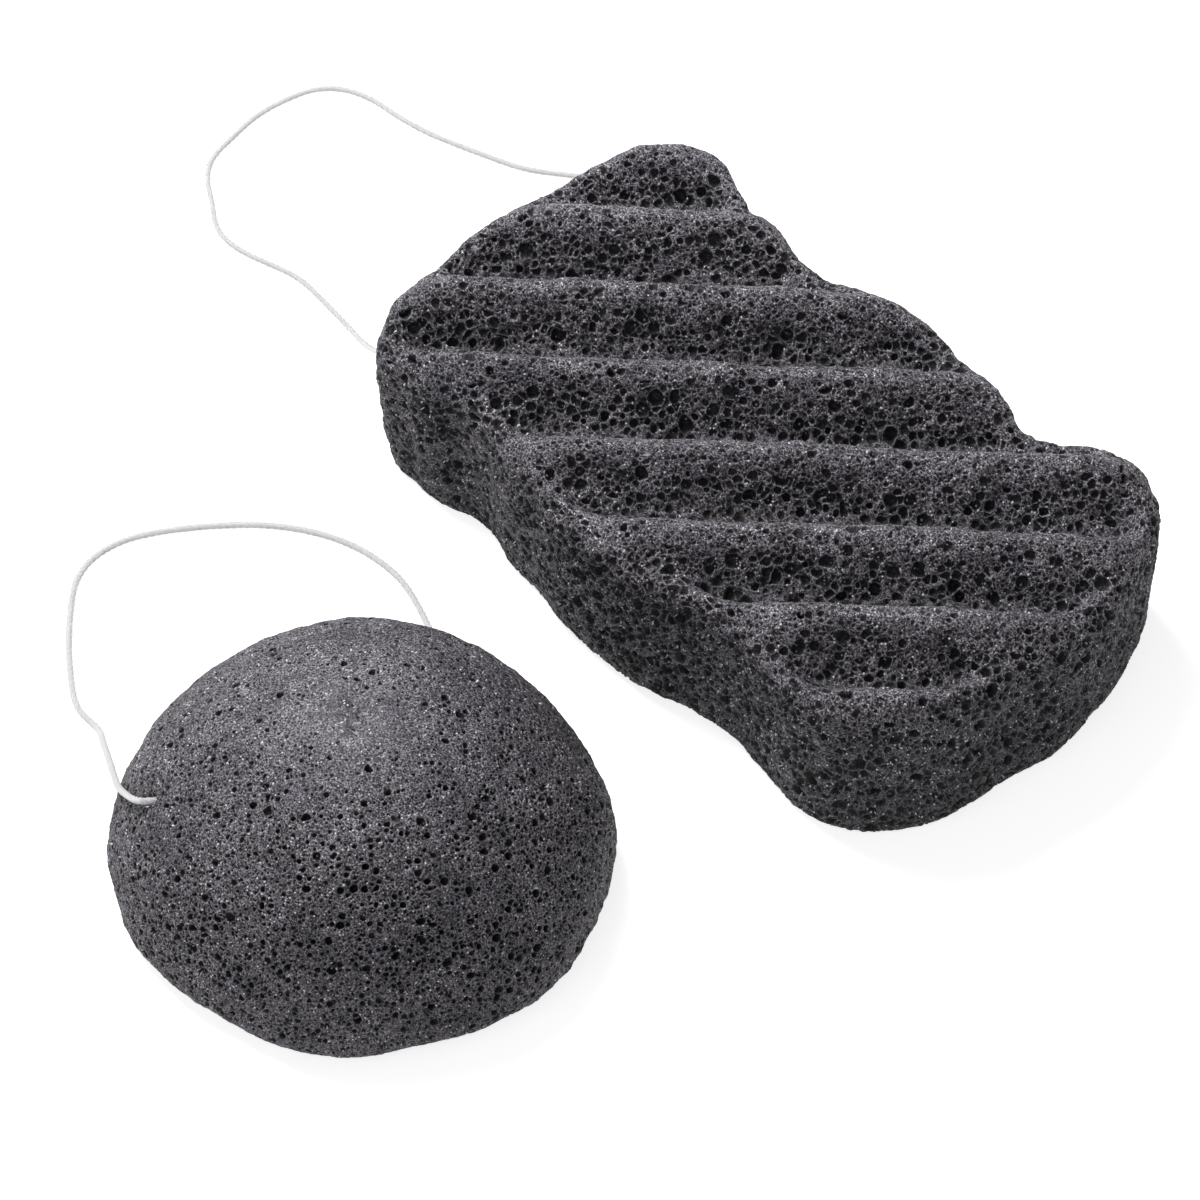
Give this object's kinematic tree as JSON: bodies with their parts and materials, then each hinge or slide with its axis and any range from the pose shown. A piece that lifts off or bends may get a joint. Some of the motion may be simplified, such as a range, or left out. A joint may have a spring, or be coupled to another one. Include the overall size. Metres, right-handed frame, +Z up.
{
  "type": "konjac sponge pair",
  "caption": "Half-ball face sponge and wave-edged ridged body sponge of dark konjac foam, each on its own thin white cord loop.",
  "frame": {"origin": "middle of the box round both sponges, on the table", "axes": "+Z up, -Y towards the viewer of the picture, +X to the right; the grooves of the long sponge run nearly along X"},
  "size_m": [0.1785, 0.2159, 0.039],
  "materials": {
    "foam": "matt open-cell konjac foam, dark charcoal grey",
    "cord": "matt twisted cotton, white"
  },
  "bodies": {
    "body_sponge_with_cord": {"body_sponge": "foam", "body_cord_threaded": "cord", "body_cord_loop": "cord", "body_cord_knot": "cord"},
    "face_sponge_with_cord": {"face_sponge": "foam", "face_cord_threaded": "cord", "face_cord_loop": "cord", "face_cord_knot": "cord"}
  },
  "joints": [
    {"name": "face_sponge_lift", "type": "slide", "parent": "body_sponge_with_cord", "child": "face_sponge_with_cord", "axis": [0, 0, 1], "range_m": [0, 0.08]}
  ]
}
